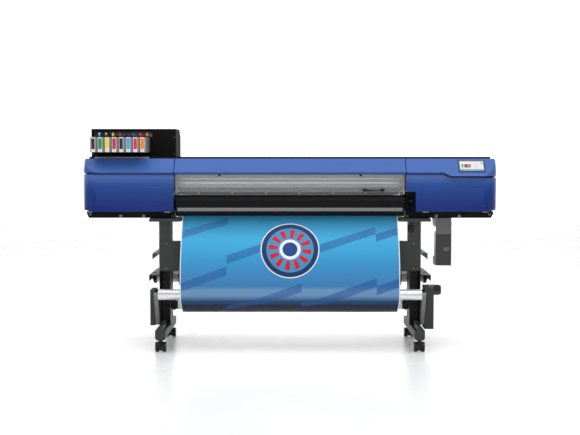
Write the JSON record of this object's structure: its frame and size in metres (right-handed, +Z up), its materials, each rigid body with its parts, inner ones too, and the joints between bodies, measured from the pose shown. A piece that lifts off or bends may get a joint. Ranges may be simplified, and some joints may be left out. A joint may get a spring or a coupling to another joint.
{
  "type": "wide-format printer cutter",
  "caption": "Free-standing roll-to-roll printer and cutter with side housings, ink rack, lifting window, dancer roller, take-up and supply rolls on a caster stand.",
  "frame": {"origin": "on the floor, below the middle of the machine", "axes": "+X to the operator's right along the machine, +Y away from the operator, +Z up"},
  "size_m": [2.93, 0.754, 1.555],
  "materials": {
    "stand_grey": "fine textured paint, satin",
    "black_metal": "satin black paint",
    "black_plastic": "fine grained moulding",
    "blue_cover": "painted moulding, soft gloss",
    "panel_black": "gloss bezel",
    "bare_aluminium": "anodised, satin",
    "guide_steel": "ground steel",
    "strip_grey": "satin grey paint",
    "clear_pane": "clear sheet",
    "holder_grey": "satin grey paint",
    "bottle_white": "milky blow moulding",
    "media": "coated sheet, printed in blues",
    "motor_black": "black enamel",
    "pinch_rubber": "ground rubber",
    "tray_grey": "grained moulding",
    "caster_black": "grained moulding",
    "tread_black": "smooth tread"
  },
  "bodies": {
    "machine": {"feet": "stand_grey", "legs": "stand_grey", "stay_panel": "stand_grey", "chassis_frame": "black_metal", "base_trays": "black_metal", "end_panels": "black_plastic", "rear_cover": "black_metal", "roof_cover": "black_plastic", "left_top_cover": "blue_cover", "center_top_cover": "blue_cover", "right_top_cover": "blue_cover", "touch_panel": "panel_black", "platen": "bare_aluminium", "rear_guide": "guide_steel", "front_apron": "black_metal", "apron_strip": "strip_grey", "guide_rail": "bare_aluminium", "ink_box": "black_plastic", "roll_arms": "stand_grey", "roll_pipes": "bare_aluminium", "roll_holders": "black_plastic", "takeup_housings": "stand_grey", "takeup_motor": "motor_black", "drain_holder": "holder_grey", "drain_bottle": "bottle_white", "media_web": "media"},
    "left_cover": {"left_front_cover": "blue_cover"},
    "right_cover": {"right_front_cover": "blue_cover"},
    "window": {"window_frame": "strip_grey", "window_pane": "clear_pane", "window_handle": "black_plastic"},
    "dancer": {"dancer_arms": "strip_grey"},
    "dancer_roller": {"dancer_pipe": "bare_aluminium"},
    "takeup": {"takeup_flanges": "black_plastic", "takeup_roll": "media"},
    "supply": {"supply_flanges": "black_plastic", "supply_roll": "media"},
    "carriage": {"carriage": "black_plastic"},
    "blade": {"blade_holder": "guide_steel"},
    "grit": {"grit_roller": "guide_steel"},
    "pinch_bar": {"pinch_arms": "black_plastic"},
    "pinch": {"pinch_wheels": "pinch_rubber"},
    "lever": {"loading_lever": "black_plastic"},
    "switch": {"power_switch": "black_plastic"},
    "tray_1": {"ink_tray_1": "tray_grey"},
    "tray_2": {"ink_tray_2": "tray_grey"},
    "tray_3": {"ink_tray_3": "tray_grey"},
    "tray_4": {"ink_tray_4": "tray_grey"},
    "tray_5": {"ink_tray_5": "tray_grey"},
    "tray_6": {"ink_tray_6": "tray_grey"},
    "tray_7": {"ink_tray_7": "tray_grey"},
    "tray_8": {"ink_tray_8": "tray_grey"},
    "caster_front_left": {"caster_front_left": "caster_black"},
    "wheels_front_left": {"wheels_front_left": "tread_black"},
    "caster_front_right": {"caster_front_right": "caster_black"},
    "wheels_front_right": {"wheels_front_right": "tread_black"},
    "caster_rear_left": {"caster_rear_left": "caster_black"},
    "wheels_rear_left": {"wheels_rear_left": "tread_black"},
    "caster_rear_right": {"caster_rear_right": "caster_black"},
    "wheels_rear_right": {"wheels_rear_right": "tread_black"}
  },
  "joints": [
    {"name": "left_cover_hinge", "type": "hinge", "parent": "machine", "child": "left_cover", "pos_m": [-1.14, -0.185, 1.19], "axis": [-1, 0, 0], "range_deg": [0, 60]},
    {"name": "right_cover_hinge", "type": "hinge", "parent": "machine", "child": "right_cover", "pos_m": [1.14, -0.185, 1.19], "axis": [-1, 0, 0], "range_deg": [0, 60]},
    {"name": "window_hinge", "type": "hinge", "parent": "machine", "child": "window", "pos_m": [0, -0.135, 1.222], "axis": [-1, 0, 0], "range_deg": [0, 80]},
    {"name": "dancer_swing", "type": "hinge", "parent": "machine", "child": "dancer", "pos_m": [0, -0.205, 0.182], "axis": [-1, 0, 0], "range_deg": [0, 28], "deforming": ["media_web"]},
    {"name": "dancer_roller_spin", "type": "hinge", "parent": "dancer", "child": "dancer_roller", "pos_m": [0, -0.312, 0.3965], "axis": [1, 0, 0], "continuous": true},
    {"name": "takeup_spin", "type": "hinge", "parent": "machine", "child": "takeup", "pos_m": [0, -0.125, 0.3], "axis": [1, 0, 0], "continuous": true},
    {"name": "supply_spin", "type": "hinge", "parent": "machine", "child": "supply", "pos_m": [0, 0.195, 0.6], "axis": [1, 0, 0], "continuous": true},
    {"name": "carriage_slide", "type": "slide", "parent": "machine", "child": "carriage", "axis": [-1, 0, 0], "range_m": [0, 2.2]},
    {"name": "blade_drop", "type": "slide", "parent": "carriage", "child": "blade", "axis": [0, 0, -1], "range_m": [0, 0.004], "stiffness_N_per_m": 400, "springref_m": -0.003},
    {"name": "grit_spin", "type": "hinge", "parent": "machine", "child": "grit", "pos_m": [0, 0.085, 1.064], "axis": [1, 0, 0], "continuous": true},
    {"name": "lever_turn", "type": "hinge", "parent": "machine", "child": "lever", "pos_m": [0.845, -0.07, 1.01], "axis": [1, 0, 0], "range_deg": [0, 30]},
    {"name": "pinch_lift", "type": "hinge", "parent": "machine", "child": "pinch_bar", "pos_m": [0, 0.127, 1.114], "axis": [-1, 0, 0], "range_deg": [0, 12]},
    {"name": "pinch_spin", "type": "hinge", "parent": "pinch_bar", "child": "pinch", "pos_m": [0, 0.085, 1.0864], "axis": [1, 0, 0], "continuous": true},
    {"name": "switch_rock", "type": "hinge", "parent": "machine", "child": "switch", "pos_m": [1.312, 0.335, 1.06], "axis": [1, 0, 0], "range_deg": [0, 10]},
    {"name": "tray_1_slide", "type": "slide", "parent": "machine", "child": "tray_1", "axis": [0, -1, 0], "range_m": [0, 0.13]},
    {"name": "tray_2_slide", "type": "slide", "parent": "machine", "child": "tray_2", "axis": [0, -1, 0], "range_m": [0, 0.13]},
    {"name": "tray_3_slide", "type": "slide", "parent": "machine", "child": "tray_3", "axis": [0, -1, 0], "range_m": [0, 0.13]},
    {"name": "tray_4_slide", "type": "slide", "parent": "machine", "child": "tray_4", "axis": [0, -1, 0], "range_m": [0, 0.13]},
    {"name": "tray_5_slide", "type": "slide", "parent": "machine", "child": "tray_5", "axis": [0, -1, 0], "range_m": [0, 0.13]},
    {"name": "tray_6_slide", "type": "slide", "parent": "machine", "child": "tray_6", "axis": [0, -1, 0], "range_m": [0, 0.13]},
    {"name": "tray_7_slide", "type": "slide", "parent": "machine", "child": "tray_7", "axis": [0, -1, 0], "range_m": [0, 0.13]},
    {"name": "tray_8_slide", "type": "slide", "parent": "machine", "child": "tray_8", "axis": [0, -1, 0], "range_m": [0, 0.13]},
    {"name": "swivel_front_left", "type": "hinge", "parent": "machine", "child": "caster_front_left", "pos_m": [-0.9, -0.335, 0.075], "axis": [0, 0, 1], "continuous": true},
    {"name": "roll_front_left", "type": "hinge", "parent": "caster_front_left", "child": "wheels_front_left", "pos_m": [-0.9, -0.317, 0.031], "axis": [1, 0, 0], "continuous": true},
    {"name": "swivel_front_right", "type": "hinge", "parent": "machine", "child": "caster_front_right", "pos_m": [0.9, -0.335, 0.075], "axis": [0, 0, 1], "continuous": true},
    {"name": "roll_front_right", "type": "hinge", "parent": "caster_front_right", "child": "wheels_front_right", "pos_m": [0.9, -0.317, 0.031], "axis": [1, 0, 0], "continuous": true},
    {"name": "swivel_rear_left", "type": "hinge", "parent": "machine", "child": "caster_rear_left", "pos_m": [-0.9, 0.262, 0.075], "axis": [0, 0, 1], "continuous": true},
    {"name": "roll_rear_left", "type": "hinge", "parent": "caster_rear_left", "child": "wheels_rear_left", "pos_m": [-0.9, 0.28, 0.031], "axis": [1, 0, 0], "continuous": true},
    {"name": "swivel_rear_right", "type": "hinge", "parent": "machine", "child": "caster_rear_right", "pos_m": [0.9, 0.262, 0.075], "axis": [0, 0, 1], "continuous": true},
    {"name": "roll_rear_right", "type": "hinge", "parent": "caster_rear_right", "child": "wheels_rear_right", "pos_m": [0.9, 0.28, 0.031], "axis": [1, 0, 0], "continuous": true}
  ],
  "couplings": [
    {"joint": "pinch_lift", "follows": "lever_turn", "ratio": 0.4}
  ]
}
